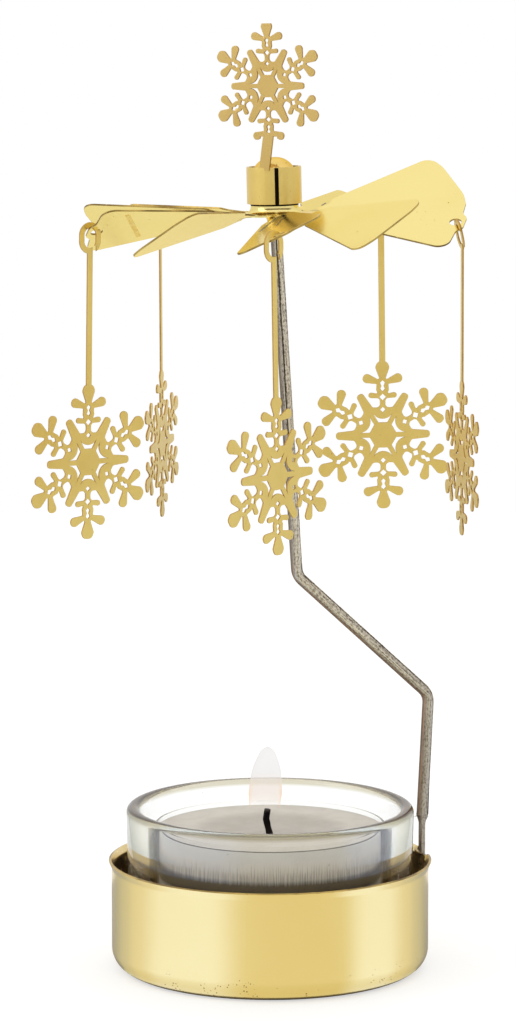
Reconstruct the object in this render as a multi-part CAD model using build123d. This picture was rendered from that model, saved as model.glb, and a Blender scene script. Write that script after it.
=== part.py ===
from build123d import *
import math
import os

# Angel chime carousel: a brass cup holds a glass candle cup with a tealight, and a rolled steel stem
# that rises beside it carries a wheel of pitched blades on a needle point. Five snowflakes hang from
# every second blade and one stands on top. Lengths are in millimetres.
# The origin is the middle of the cup's base. -Y is the front and +Z is up. Azimuths are in degrees
# from the front, towards +X.

os.makedirs("parts", exist_ok=True)

# Driving dimensions
cup_radius = 26.8
cup_height = 18.5
cup_sheet = 0.45
glass_radius = 24.3
glass_top_height = 27.7
tealight_radius = 19.45
stem_diameter = 1.95
arm_low_height = 45.6
arm_high_height = 66.8
wheel_height = 127.6
blade_sheet = 0.35
hook_hole_reach = 30.8
blade_chord = 15.7
hanger_sheet = 0.3
hanger_flake_radius = 12.8
hanger_drop = 51.3
topper_sheet = 0.4
topper_flake_radius = 10.6

# Clearances
loose_gap = 0.05
point_gap = 0.15
hook_gap = 0.1
cut_overrun = 1.0

# Candle cup
cup_corner_radius = 3.6
rim_flare = 0.5
rim_flare_height = 1.1
rim_bend_radius = 0.7
socket_azimuth = 103.0
socket_half_span = 3.1
socket_flat_half = 1.25
socket_bend_radius = 0.35
strap_bottom = 4.2
strap_height = 4.4
slit_width = 0.3

# Stem
tongue_thickness = 0.7
tongue_width = 1.9
tongue_bottom = strap_bottom
shoulder_height = 24.5
shoulder_taper = 1.6
arm_outer_reach = 27.6
arm_inner_reach = 4.65
stem_wall = 0.4
stem_bend_radius = 3.0
seam_width = 0.35
seam_turn = -120.0
needle_length = 5.2
needle_collar = 1.2
needle_tip_radius = 0.08

# Glass cup
glass_seat = cup_sheet + loose_gap
glass_base_thickness = 4.0
glass_mouth_radius = 22.0
glass_floor_radius = 20.6
glass_foot_radius = 23.7
glass_foot_round = 3.2
glass_floor_round = 1.5
glass_rim_round = 1.0

# Tealight
tealight_height = 20.0
tealight_wall = 0.3
tealight_corner = 1.2
wax_below_rim = 0.8
wax_dish_depth = 1.1
wax_dish_radius = 13.0
wick_diameter = 1.1
wick_free_height = 4.4
wick_lean = 0.7
wick_turn = 2.4
sustainer_radius = 6.5
sustainer_thickness = 0.3
sustainer_neck_radius = 1.6
sustainer_neck_height = 3.0

# Wheel
axis_reach = 0.55
wheel_roll = 1.3
wheel_dip = 0.7
hub_radius = 4.05
hub_top_height = 137.0
hub_top_radius = 3.5
hub_top_round = 3.3
hub_foot_round = 1.1
disc_radius = 7.6
blade_count = 10
blade_pitch = 29.0
blade_droop = 4.0
neck_width = 3.0
twist_length = 2.6
shoulder_reach = 11.2
shoulder_width = 5.2
corner_reach = 31.1
corner_round = 2.0
plain_tip_rise = 0.9
plain_tip_half = 4.4
plain_tip_round = 7.0
tab_radius = 1.6
tab_root_half = 2.6
tab_root_rise = 0.35
tab_root_round = 1.6
hook_hole_radius = 1.0

# Topper
collar_radius = 4.55
collar_bottom_rise = 1.75
collar_height = 6.1
collar_gap = 0.65
collar_gap_azimuth = 5.5
topper_strip_width = 1.9
topper_strip_azimuth = -21.0
topper_foot_depth = 0.5
topper_twist = -8.0
topper_rise = 13.4
topper_lean = 1.0
topper_trim_share = 0.965
petal_trim_share = (0.3, 0.44)
topper_foot_share = 0.72

# Hangers
hook_width = 4.25
hook_height = 5.2
hook_band = 0.95
hook_mouth = 0.7
strip_width = 1.05

# Snowflake, in shares of its tip radius. Points run across and along one arm.
arm_count = 6
window_inner_share = (0.060, 0.172)
window_corner_share = (0.136, 0.300)
window_crown_share = 0.219
small_hole_share = (0.345, 0.036)
large_hole_share = (0.515, 0.045)
slot_low_share = (0.625, 0.031)
slot_high_share = (0.708, 0.034)
slot_waist_half_share = 0.014
finger_tip_share = 0.64
finger_half_share = 0.047
finger_round_share = 0.9
strip_join_share = 0.93

# Right half of one arm from the valley beside it to its tip: across, along and corner radius
arm_outline_shares = (
    (0.136, 0.375, 0.040),
    (0.036, 0.375, 0.048),
    (0.038, 0.498, 0.042),
    (0.192, 0.505, 0.035),
    (0.192, 0.584, 0.036),
    (0.066, 0.562, 0.012),
    (0.086, 0.610, 0.030),
    (0.080, 0.692, 0.014),
    (0.289, 0.717, 0.058),
    (0.243, 0.860, 0.060),
    (0.032, 0.740, 0.016),
    (0.098, 0.918, 0.060),
    (0.064, 1.000, 0.070),
)

# Azimuths of the five hook blades and the way each flake faces, in degrees: 0 is square to the front
# and a positive facing has the flake's right side further away. The leans are in the flake's own plane.
hook_azimuths = (0.0, 72.0, 144.0, -144.0, -72.0)
hanger_names = ("hanger_front", "hanger_right", "hanger_back_right", "hanger_back_left", "hanger_left")
hanger_facings = (46.0, -79.0, 7.0, 77.0, 38.0)
hanger_leans = (1.3, 1.0, 0.8, 1.0, -1.0)

# How far each hook is bent out of its strip's plane, in degrees
hook_bends = (0.0, 12.5, 0.0, 0.0, 0.0)

# Blades bent away from the rest by handling: lift, extra pitch and sweep in degrees
bent_blades = {
    0.0: (0.0, -5.0, 1.0),
    36.0: (2.3, 0.0, 0.0),
    72.0: (0.0, 0.0, 2.0),
    108.0: (14.0, 0.0, 0.0),
    144.0: (0.0, 0.0, 2.5),
    180.0: (4.0, 4.0, 5.0),
    -144.0: (-1.5, -4.0, 4.4),
}


def azimuth_turn(azimuth):
    """Turn that takes +X to the radial direction at an azimuth."""
    return Rot(0, 0, azimuth - 90.0)


def sheet_section(outer_points, radii, gauge):
    """Face of a bent sheet: a rounded polyline and the same line set off by the gauge to its left."""
    inner_points = []
    last = len(outer_points) - 1
    for i, (x, y) in enumerate(outer_points):
        normals = []
        for a, b in ((i - 1, i), (i, i + 1)):
            if a >= 0 and b <= last:
                dx = outer_points[b][0] - outer_points[a][0]
                dy = outer_points[b][1] - outer_points[a][1]
                length = math.hypot(dx, dy)
                normals.append((-dy / length, dx / length))
        nx = sum(n[0] for n in normals)
        ny = sum(n[1] for n in normals)
        scale = 2.0 * gauge / (nx * nx + ny * ny) if len(normals) == 2 else gauge
        inner_points.append((x + nx * scale, y + ny * scale))
    inner_radii = []
    for i, radius in enumerate(radii):
        (ax, ay), (bx, by), (cx, cy) = outer_points[i:i + 3]
        left_turn = (bx - ax) * (cy - by) - (by - ay) * (cx - bx) > 0
        inner_radii.append(radius - gauge if left_turn else radius + gauge)
    outer = FilletPolyline(*outer_points, radius=radii)
    inner = FilletPolyline(*inner_points, radius=inner_radii)
    ends = [Line(outer @ 0, inner @ 0), Line(outer @ 1, inner @ 1)]
    return make_face([outer, inner] + ends)


def revolved(section):
    """Solid turned about Z from a section drawn as reach and height."""
    return revolve(Plane.XZ * section, Axis.Z)


wall_middle = cup_radius - cup_sheet / 2.0


def socket_stretch(offset, bottom, height):
    """Stretch of the cup's wall pressed in or out beside the slits, drawn at +X."""
    root = math.sqrt(cup_radius ** 2 - socket_half_span ** 2)
    overlap = cup_sheet / 2.0
    flat = cup_radius + offset
    points = [
        (root, -socket_half_span - overlap),
        (root, -socket_half_span),
        (flat, -socket_flat_half),
        (flat, socket_flat_half),
        (root, socket_half_span),
        (root, socket_half_span + overlap),
    ]
    section = sheet_section(points, [socket_bend_radius + cup_sheet] * 4, cup_sheet)
    return Pos(0, 0, bottom) * extrude(section, height)


def make_candle_cup():
    points = [
        (0, 0),
        (cup_radius, 0),
        (cup_radius, cup_height - rim_flare_height),
        (cup_radius + rim_flare, cup_height),
    ]
    cup = revolved(sheet_section(points, [cup_corner_radius, rim_bend_radius], cup_sheet))
    strap_top = strap_bottom + strap_height
    lance_bottom = strap_bottom - slit_width
    lance = Box(
        cup_sheet + 2.0 * cut_overrun,
        2.0 * socket_half_span,
        cup_height + cut_overrun - lance_bottom,
        align=(Align.CENTER, Align.CENTER, Align.MIN),
    )
    cup -= Pos(wall_middle, 0, lance_bottom) * lance
    press = (tongue_thickness + cup_sheet) / 2.0 + loose_gap
    dent_bottom = strap_top + slit_width
    dent = socket_stretch(-press, dent_bottom, cup_height - dent_bottom)
    strap = socket_stretch(press, strap_bottom, strap_height)
    return azimuth_turn(socket_azimuth) * (cup + dent + strap)


def stem_section():
    """Rolled strip, cut along its open seam."""
    tube = Circle(stem_diameter / 2.0) - Circle(stem_diameter / 2.0 - stem_wall)
    seam = Rot(0, 0, seam_turn) * Pos(stem_diameter / 2.0, 0) * Rectangle(stem_diameter, seam_width)
    return tube - seam


hub_ceiling = hub_top_height - blade_sheet
point_height = hub_ceiling - point_gap


def make_support_stem():
    neck_height = point_height - needle_length
    path = FilletPolyline(
        (wall_middle, 0, shoulder_height),
        (arm_outer_reach, 0, arm_low_height),
        (arm_inner_reach, 0, arm_high_height),
        (axis_reach, 0, neck_height),
        radius=[stem_bend_radius, stem_bend_radius],
    )
    start = Plane(origin=path @ 0, x_dir=(0, 1, 0), z_dir=path % 0)
    stem = sweep(start * stem_section(), path)
    tongue_top = shoulder_height - shoulder_taper
    tongue = Box(
        tongue_thickness,
        tongue_width,
        tongue_top - tongue_bottom,
        align=(Align.CENTER, Align.CENTER, Align.MIN),
    )
    stem += Pos(wall_middle, 0, tongue_bottom) * tongue
    low = Pos(wall_middle, 0, tongue_top) * Rectangle(tongue_thickness, tongue_width)
    full_width = stem_diameter - needle_tip_radius
    high = Pos(wall_middle, 0, shoulder_height + stem_wall) * RectangleRounded(
        full_width, full_width, stem_diameter / 3.0
    )
    stem += loft([low, high])
    top = path @ 1
    stem += Pos(top.X, top.Y, top.Z - needle_collar) * Cylinder(
        stem_diameter / 2.0 - stem_wall / 2.0,
        needle_collar + stem_wall,
        align=(Align.CENTER, Align.CENTER, Align.MIN),
    )
    cone_bottom = neck_height + stem_wall
    stem += Pos(top.X, top.Y, cone_bottom) * Cone(
        stem_diameter / 2.0 - stem_wall / 2.0,
        needle_tip_radius,
        point_height - cone_bottom,
        align=(Align.CENTER, Align.CENTER, Align.MIN),
    )
    return azimuth_turn(socket_azimuth) * stem


def make_glass_cup():
    floor = glass_seat + glass_base_thickness
    outer = [
        (0, glass_seat),
        (glass_foot_radius, glass_seat),
        (glass_radius, glass_top_height),
        (glass_mouth_radius, glass_top_height),
        (glass_floor_radius, floor),
        (0, floor),
    ]
    line = FilletPolyline(
        *outer, radius=[glass_foot_round, glass_rim_round, glass_rim_round, glass_floor_round]
    )
    return revolved(make_face([line, Line(line @ 1, line @ 0)]))


tealight_seat = glass_seat + glass_base_thickness + loose_gap
tealight_top = tealight_seat + tealight_height
wax_top = tealight_top - wax_below_rim


def make_tealight_shell():
    points = [
        (0, tealight_seat),
        (tealight_radius, tealight_seat),
        (tealight_radius, tealight_top),
    ]
    return revolved(sheet_section(points, [tealight_corner], tealight_wall))


def wick_solid(extra):
    """Wick with its bent free end, thicker all round by extra."""
    dish = wax_top - wax_dish_depth
    path = FilletPolyline(
        (0, 0, tealight_seat + tealight_wall + sustainer_thickness),
        (0, 0, dish),
        (-wick_lean, 0, dish + wick_free_height * 0.6),
        (-wick_lean * 0.6, 0, dish + wick_free_height),
        radius=[wick_turn, wick_turn / 2.0],
    )
    start = Plane(origin=path @ 0, x_dir=(1, 0, 0), z_dir=path % 0)
    return sweep(start * Circle(wick_diameter / 2.0 + extra), path)


def make_wax():
    radius = tealight_radius - tealight_wall
    bottom = tealight_seat + tealight_wall
    block = Pos(0, 0, bottom) * Cylinder(
        radius, wax_top - bottom, align=(Align.CENTER, Align.CENTER, Align.MIN)
    )
    block = fillet(block.edges().group_by(Axis.Z)[0], tealight_corner - tealight_wall)
    sphere_radius = (wax_dish_radius ** 2 + wax_dish_depth ** 2) / (2.0 * wax_dish_depth)
    block -= Pos(0, 0, wax_top - wax_dish_depth + sphere_radius) * Sphere(sphere_radius)
    return block - sustainer_solid() - wick_solid(0)


def sustainer_solid():
    """Round foot with a short neck crimped on the wick."""
    bottom = tealight_seat + tealight_wall
    foot = Pos(0, 0, bottom) * Cylinder(
        sustainer_radius, sustainer_thickness, align=(Align.CENTER, Align.CENTER, Align.MIN)
    )
    neck = Pos(0, 0, bottom) * Cone(
        sustainer_neck_radius,
        wick_diameter / 2.0 + sustainer_thickness,
        sustainer_neck_height,
        align=(Align.CENTER, Align.CENTER, Align.MIN),
    )
    return foot + neck


def make_wick_sustainer():
    return sustainer_solid() - wick_solid(0)


def wheel_place():
    """Where the wheel sits: tipped a little on the point, as a loose wheel does."""
    pivot = azimuth_turn(socket_azimuth) * Pos(axis_reach, 0, point_height)
    tip = pivot.position
    return Pos(tip.X, tip.Y, tip.Z) * Rot(-wheel_dip, -wheel_roll, 0) * Pos(0, 0, -point_height)


def blade_outline(with_tab):
    """Flat blade from its neck to its tip, drawn along +X."""
    neck = neck_width / 2.0
    shoulder = shoulder_width / 2.0
    corner = blade_chord / 2.0
    start = disc_radius + twist_length
    side = [(start, neck), (shoulder_reach, shoulder), (corner_reach, corner)]
    radii = [neck, corner_round]
    if with_tab:
        root = corner_reach + tab_root_rise
        end = hook_hole_reach + tab_radius
        side += [(root, tab_root_half), (end, tab_radius)]
        radii += [tab_root_round, tab_radius * 0.9]
    else:
        side += [(corner_reach + plain_tip_rise, plain_tip_half)]
        radii += [plain_tip_round]
    points = [(x, -y) for x, y in side] + side[::-1]
    line = FilletPolyline(*points, radius=radii + radii[::-1])
    face = make_face([line, Line(line @ 1, line @ 0)])
    if with_tab:
        face -= Pos(hook_hole_reach, 0) * Circle(hook_hole_radius)
    return face


def blade_place(azimuth):
    """Where a blade drawn along +X goes, up to its droop, and its pitch about its own length."""
    lift, extra_pitch, sweep = bent_blades.get(azimuth, (0.0, 0.0, 0.0))
    droop = Pos(disc_radius, 0, 0) * Rot(0, blade_droop - lift, 0) * Pos(-disc_radius, 0, 0)
    where = azimuth_turn(azimuth + sweep) * Pos(0, 0, wheel_height) * droop
    return where, Rot(blade_pitch + extra_pitch, 0, 0)


def make_blade(azimuth, with_tab):
    """Blade and its twisted neck, at wheel height."""
    place, pitch = blade_place(azimuth)
    sheet = pitch * Pos(0, 0, -blade_sheet / 2.0) * extrude(blade_outline(with_tab), blade_sheet)
    root_plane = Plane(origin=(disc_radius - neck_width / 2.0, 0, 0), x_dir=(0, 1, 0), z_dir=(1, 0, 0))
    end_plane = Plane(origin=(disc_radius + twist_length, 0, 0), x_dir=(0, 1, 0), z_dir=(1, 0, 0))
    flat = root_plane * Rectangle(neck_width, blade_sheet)
    turned = pitch * (end_plane * Rectangle(neck_width, blade_sheet))
    neck = loft([flat, turned], ruled=True)
    return place * (sheet + neck)


def make_rotor_wheel():
    top = hub_top_height
    under = wheel_height - blade_sheet / 2.0
    points = [
        (0, top),
        (hub_top_radius, top),
        (hub_radius, under + blade_sheet),
        (disc_radius, under + blade_sheet),
    ]
    flipped = [(x, -y) for x, y in points]
    section = sheet_section(flipped, [hub_top_round, hub_foot_round], blade_sheet)
    wheel = revolved(mirror(section, Plane.XZ))
    step = 360.0 / blade_count
    for i in range(blade_count):
        azimuth = i * step if i * step <= 180.0 else i * step - 360.0
        wheel += make_blade(azimuth, azimuth in hook_azimuths)
    return wheel_place() * wheel


def finger_corner(r):
    """Corner at the end of the finger that stands between this arm and the next."""
    turn = math.radians(360.0 / arm_count / 2.0)
    along = (math.sin(turn), math.cos(turn))
    half = finger_half_share * r
    tip = finger_tip_share * r
    return ((along[0] * tip - along[1] * half, along[1] * tip + along[0] * half), half * finger_round_share)


def turned_point(point, degrees):
    angle = math.radians(degrees)
    x, y = point
    return (x * math.cos(angle) + y * math.sin(angle), y * math.cos(angle) - x * math.sin(angle))


def flake_outline(r):
    """Outer line of the snowflake, arm by arm, clockwise."""
    right = [((x * r, y * r), radius * r) for x, y, radius in arm_outline_shares[::-1]]
    right.append(finger_corner(r))
    left = [((-x, y), radius) for (x, y), radius in right][::-1]
    points = []
    radii = []
    for k in range(arm_count):
        for point, radius in left + right:
            points.append(turned_point(point, 360.0 / arm_count * k))
            radii.append(radius)
    return FilletPolyline(*points, radius=radii, close=True)


def window_face(r):
    """Window between the hub of the flake and one arm."""
    inner = (window_inner_share[0] * r, window_inner_share[1] * r)
    corner = (window_corner_share[0] * r, window_corner_share[1] * r)
    line = Polyline((-corner[0], corner[1]), (-inner[0], inner[1]), inner, corner)
    return make_face([line, ThreePointArc(corner, (0, window_crown_share * r), (-corner[0], corner[1]))])


def slot_face(r):
    """Slot with two swollen ends near the arm's tip."""
    low, low_half = slot_low_share
    high, high_half = slot_high_share
    side = [
        (0, low - low_half),
        (low_half, low),
        (slot_waist_half_share, (low + high) / 2.0),
        (high_half, high),
        (0, high + high_half),
    ]
    mirrored = [(-x, y) for x, y in side[-2:0:-1]]
    return make_face(Polyline(*[(x * r, y * r) for x, y in side + mirrored], close=True))


def flake_holes(r):
    """Windows, diamonds and slots of the snowflake as one sketch."""
    sketch = window_face(r) + slot_face(r)
    for along, half in (small_hole_share, large_hole_share):
        side = half * r * math.sqrt(2.0)
        sketch += Pos(0, along * r) * Rot(0, 0, 45.0) * Rectangle(side, side)
    return Sketch() + [Rot(0, 0, 360.0 / arm_count * k) * sketch for k in range(arm_count)]


def flake_face(r):
    return make_face(flake_outline(r)) - flake_holes(r)


def hook_face():
    """Open hook, its inner top at the origin, with the strip's top under it."""
    centre = -hook_height / 2.0 + hook_band
    outer = SlotOverall(hook_height, hook_width, rotation=90)
    inner = SlotOverall(hook_height - 2.0 * hook_band, hook_width - 2.0 * hook_band, rotation=90)
    ring = outer - inner
    mouth_middle = (strip_width + hook_mouth) / 2.0
    mouth = Pos(mouth_middle, -hook_height / 2.0) * Rectangle(hook_mouth, hook_height / 2.0)
    ring -= mouth
    return Pos(0, centre) * ring


def make_hanger_blank(hook_bend):
    """Hanger in the XZ plane, its hook's inner top at the origin, its strip set off by the hook's bend."""
    strip_top = -hook_height + 1.5 * hook_band
    flake_middle = -hanger_drop + hanger_flake_radius
    strip_bottom = flake_middle + strip_join_share * hanger_flake_radius
    strip = Pos(0, (strip_top + strip_bottom) / 2.0) * Rectangle(strip_width, strip_top - strip_bottom)
    hang = strip + Pos(0, flake_middle) * flake_face(hanger_flake_radius)
    hook = Pos(0, hanger_sheet / 2.0, 0) * extrude(Plane.XZ * hook_face(), hanger_sheet)
    set_off = -strip_top * math.tan(math.radians(hook_bend))
    hang = Pos(0, set_off + hanger_sheet / 2.0, 0) * extrude(Plane.XZ * hang, hanger_sheet)
    return Rot(hook_bend, 0, 0) * hook + hang


def hook_seat(azimuth, facing):
    """Hook's inner top, over the land between the hole and the tab's end."""
    place, pitch = blade_place(azimuth)
    place = wheel_place() * place * pitch
    hole = (place * Pos(hook_hole_reach, 0, 0)).position
    normal = (place * Pos(hook_hole_reach, 0, hook_hole_reach)).position - hole
    normal = normal / hook_hole_reach
    outward = Vector(math.cos(math.radians(facing)), math.sin(math.radians(facing)), 0)
    if outward.dot(hole - wheel_place().position) < 0:
        outward = outward * -1
    across = Vector(-outward.Y, outward.X, 0)
    slope = -outward.dot(normal) / normal.Z
    cross_slope = abs(across.dot(normal) / normal.Z)
    land = tab_radius - hook_hole_radius
    reach = hook_hole_radius + land / 2.0
    bend = hook_width / 2.0 - hook_band
    crown_drop = bend - math.sqrt(bend ** 2 - land ** 2 / 4.0)
    lift = blade_sheet / 2.0 / normal.Z + abs(slope) * land / 2.0 + crown_drop
    lift += cross_slope * hanger_sheet / 2.0 + hook_gap
    return hole + outward * reach + Vector(0, 0, slope * reach + lift)


def make_hanger(azimuth, facing, lean, hook_bend):
    seat = hook_seat(azimuth, facing)
    print(f"hook seat {azimuth:6.0f}: {seat.X:.3f} {seat.Y:.3f} {seat.Z:.3f}")
    turned = Pos(seat.X, seat.Y, seat.Z) * Rot(0, 0, facing) * Rot(0, -lean, 0)
    return turned * make_hanger_blank(hook_bend)


def topper_face():
    """Strip and snowflake, the middle of the strip's foot at the origin."""
    r = topper_flake_radius
    trim = Pos(0, r * (1.0 + topper_trim_share)) * Rectangle(r, 2.0 * r)
    petal = Pos(0, -r) * Rectangle(petal_trim_share[0] * r, petal_trim_share[1] * r)
    flake = flake_face(r) - trim - petal
    half = topper_strip_width / 2.0
    foot = topper_rise - topper_foot_share * r
    strip = Polyline(
        (-half, -topper_foot_depth),
        (half, -topper_foot_depth),
        (topper_lean + half, foot),
        (topper_lean - half, foot),
        close=True,
    )
    return make_face(strip) + Pos(topper_lean, topper_rise) * flake


def make_topper():
    """Collar, strip and snowflake, clipped on the wheel's thimble."""
    bottom = wheel_height + collar_bottom_rise
    ring = Circle(collar_radius) - Circle(collar_radius - topper_sheet)
    seam = Rot(0, 0, collar_gap_azimuth - 90.0) * Pos(collar_radius, 0) * Rectangle(hub_radius, collar_gap)
    collar = Pos(0, 0, bottom) * extrude(ring - seam, collar_height)
    plate = Pos(0, topper_sheet / 2.0, 0) * extrude(Plane.XZ * topper_face(), topper_sheet)
    stand = Pos(0, topper_sheet / 2.0 - collar_radius, bottom + collar_height)
    stand = Rot(0, 0, topper_strip_azimuth) * stand * Rot(0, 0, topper_twist)
    return wheel_place() * (collar + stand * plate)


def write(shape, node):
    export_step(shape, f"parts/{node}.step")
    print(f"{node}: {len(shape.solids())} solid, {shape.volume:.2f} mm3")


def main():
    write(make_candle_cup(), "candle_cup")
    write(make_support_stem(), "support_stem")
    write(make_glass_cup(), "glass_cup")
    write(make_tealight_shell(), "tealight_shell")
    write(make_wax(), "wax")
    write(wick_solid(0), "wick")
    write(make_wick_sustainer(), "wick_sustainer")
    write(make_rotor_wheel(), "rotor_wheel")
    write(make_topper(), "topper")
    hangers = zip(hanger_names, hook_azimuths, hanger_facings, hanger_leans, hook_bends)
    for name, azimuth, facing, lean, hook_bend in hangers:
        write(make_hanger(azimuth, facing, lean, hook_bend), name)


main()
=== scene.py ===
import bpy
import bmesh
import math
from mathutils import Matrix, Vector, noise


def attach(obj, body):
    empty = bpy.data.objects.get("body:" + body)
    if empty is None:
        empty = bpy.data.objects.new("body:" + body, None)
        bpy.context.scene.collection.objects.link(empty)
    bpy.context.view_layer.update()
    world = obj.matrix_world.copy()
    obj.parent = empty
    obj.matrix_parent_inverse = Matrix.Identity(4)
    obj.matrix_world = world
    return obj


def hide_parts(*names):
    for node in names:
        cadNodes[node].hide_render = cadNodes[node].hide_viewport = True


# Angel chime carousel: brass cup, glass with a tealight, bent steel stem, bladed wheel, snowflakes.
# Blender works in metres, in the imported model's own frame, with -Y at the front and +Z up.
# Sizes in the settings are in millimetres and angles in degrees.
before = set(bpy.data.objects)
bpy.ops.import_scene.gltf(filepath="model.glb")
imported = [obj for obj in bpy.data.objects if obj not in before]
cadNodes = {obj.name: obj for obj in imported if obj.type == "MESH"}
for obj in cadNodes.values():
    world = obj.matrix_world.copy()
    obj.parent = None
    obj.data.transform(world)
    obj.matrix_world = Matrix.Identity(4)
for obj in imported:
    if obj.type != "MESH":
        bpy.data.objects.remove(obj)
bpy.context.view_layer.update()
scene = bpy.context.scene
mm = 0.001
print("frame loaded with", len(cadNodes), "nodes")


# Node helpers
def addNode(tree, kind, **values):
    node = tree.nodes.new(kind)
    for name, value in values.items():
        setattr(node, name, value)
    return node


def setInputs(node, values):
    for name, value in values.items():
        node.inputs[name].default_value = value


def plug(tree, value, socket):
    # A number or colour is set on the socket, and another node's output is linked to it
    if isinstance(value, (int, float, tuple)):
        socket.default_value = value
    else:
        tree.links.new(value, socket)


def mathNode(tree, operation, first, second=0.0, clamp=False):
    node = addNode(tree, "ShaderNodeMath", operation=operation, use_clamp=clamp)
    plug(tree, first, node.inputs[0])
    plug(tree, second, node.inputs[1])
    return node.outputs[0]


def product(tree, first, second):
    return mathNode(tree, "MULTIPLY", first, second)


def rangeNode(tree, value, low, high, outLow=0.0, outHigh=1.0):
    node = addNode(tree, "ShaderNodeMapRange", interpolation_type="SMOOTHSTEP")
    tree.links.new(value, node.inputs["Value"])
    names = ("From Min", "From Max", "To Min", "To Max")
    for name, limit in zip(names, (low, high, outLow, outHigh)):
        plug(tree, limit, node.inputs[name])
    return node.outputs["Result"]


def mixColors(tree, share, first, second):
    node = addNode(tree, "ShaderNodeMix", data_type="RGBA")
    for index, value in ((0, share), (6, first), (7, second)):
        plug(tree, value, node.inputs[index])
    return node.outputs[2]


def noiseNode(tree, vector, scale, detail=3.0, roughness=0.5):
    node = addNode(tree, "ShaderNodeTexNoise")
    tree.links.new(vector, node.inputs["Vector"])
    setInputs(node, {"Detail": detail, "Roughness": roughness})
    plug(tree, scale, node.inputs["Scale"])
    return node.outputs["Fac"]


def speckMask(tree, place, scale, size):
    # 1 within the given distance of scattered points
    speck = addNode(tree, "ShaderNodeTexVoronoi", feature="F1")
    tree.links.new(place, speck.inputs["Vector"])
    tree.links.new(scale, speck.inputs["Scale"])
    return mathNode(tree, "LESS_THAN", speck.outputs["Distance"], size)


def splitVector(tree, vector):
    split = addNode(tree, "ShaderNodeSeparateXYZ")
    tree.links.new(vector, split.inputs[0])
    return split.outputs


def flatVector(tree, across, along):
    joined = addNode(tree, "ShaderNodeCombineXYZ")
    tree.links.new(across, joined.inputs["X"])
    tree.links.new(along, joined.inputs["Y"])
    return joined.outputs[0]


def objectPlace(tree):
    # Object coordinates, whole and split
    place = addNode(tree, "ShaderNodeTexCoord").outputs["Object"]
    return place, splitVector(tree, place)


def seenStraight(tree):
    # 1 for what is looked at straight or through glass, and 0 for what is mirrored or lights
    paths = addNode(tree, "ShaderNodeLightPath").outputs
    return mathNode(tree, "MAXIMUM", paths["Is Camera Ray"], paths["Is Transmission Ray"])


# Surface effects that several materials share, each a node group
def newSkin(name, defaults):
    tree = bpy.data.node_groups.new(name, "ShaderNodeTree")
    kinds = {1: "NodeSocketFloat", 3: "NodeSocketVector", 4: "NodeSocketColor"}
    for label, value in defaults.items():
        kind = kinds[len(value) if isinstance(value, tuple) else 1]
        socket = tree.interface.new_socket(name=label, in_out="INPUT", socket_type=kind)
        socket.default_value = value
    for label, size in (("Color", 4), ("Roughness", 1), ("Normal", 3)):
        tree.interface.new_socket(name=label, in_out="OUTPUT", socket_type=kinds[size])
    return tree, addNode(tree, "NodeGroupInput").outputs, addNode(tree, "NodeGroupOutput").inputs


def finishSkin(tree, result, color, rough, height, strength, depth):
    bump = addNode(tree, "ShaderNodeBump")
    bump.inputs["Distance"].default_value = depth * mm
    tree.links.new(strength, bump.inputs["Strength"])
    tree.links.new(height, bump.inputs["Height"])
    tree.links.new(color, result["Color"])
    tree.links.new(rough, result["Roughness"])
    tree.links.new(bump.outputs["Normal"], result["Normal"])
    return tree


def buildMetalSkin():
    # Clouded colour, fine drawn grain and scattered specks: tarnish where the speck colour is
    # darker than the face, and painted glints where it is lighter
    look = {
        "cloudRange": (0.35, 0.7),
        "grainRange": (0.3, 0.7),
        "sparseScale": 330.0,
        "sparseRange": (0.42, 0.60),
        "speckRough": 0.3,
        "bumpDepth": 0.02,
    }
    tree, given, result = newSkin(
        "metalSkin",
        {
            "Face Color": (0.8, 0.6, 0.3, 1),
            "Deep Color": (0.6, 0.4, 0.2, 1),
            "Speck Color": (0.2, 0.1, 0.03, 1),
            "Cloud Scale": 60.0,
            "Cloud Share": 0.5,
            "Grain Scale": 900.0,
            "Grain Stretch": (1, 1, 1),
            "Speck Scale": 700.0,
            "Speck Size": 0.12,
            "Speck Low": 1.0,
            "Speck High": 2.0,
            "Rough Low": 0.15,
            "Rough High": 0.25,
            "Bump": 0.2,
        },
    )
    place, split = objectPlace(tree)
    cloud = rangeNode(tree, noiseNode(tree, place, given["Cloud Scale"]), *look["cloudRange"])
    cloudShare = product(tree, cloud, given["Cloud Share"])
    faceColor = mixColors(tree, cloudShare, given["Face Color"], given["Deep Color"])
    # Specks lie in sparse patches, and thin out between the two speck heights
    patches = noiseNode(tree, place, look["sparseScale"], 2.0)
    sparse = rangeNode(tree, patches, *look["sparseRange"])
    low = rangeNode(tree, split["Z"], given["Speck Low"], given["Speck High"], 1.0, 0.0)
    speckSize = product(tree, given["Speck Size"], product(tree, sparse, low))
    specks = speckMask(tree, place, given["Speck Scale"], speckSize)
    color = mixColors(tree, specks, faceColor, given["Speck Color"])
    stretch = addNode(tree, "ShaderNodeVectorMath", operation="MULTIPLY")
    tree.links.new(place, stretch.inputs[0])
    tree.links.new(given["Grain Stretch"], stretch.inputs[1])
    grain = noiseNode(tree, stretch.outputs[0], given["Grain Scale"], 4.0, 0.6)
    rough = rangeNode(tree, grain, *look["grainRange"], given["Rough Low"], given["Rough High"])
    rough = mathNode(tree, "ADD", rough, product(tree, specks, look["speckRough"]), clamp=True)
    return finishSkin(tree, result, color, rough, grain, given["Bump"], look["bumpDepth"])


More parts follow.
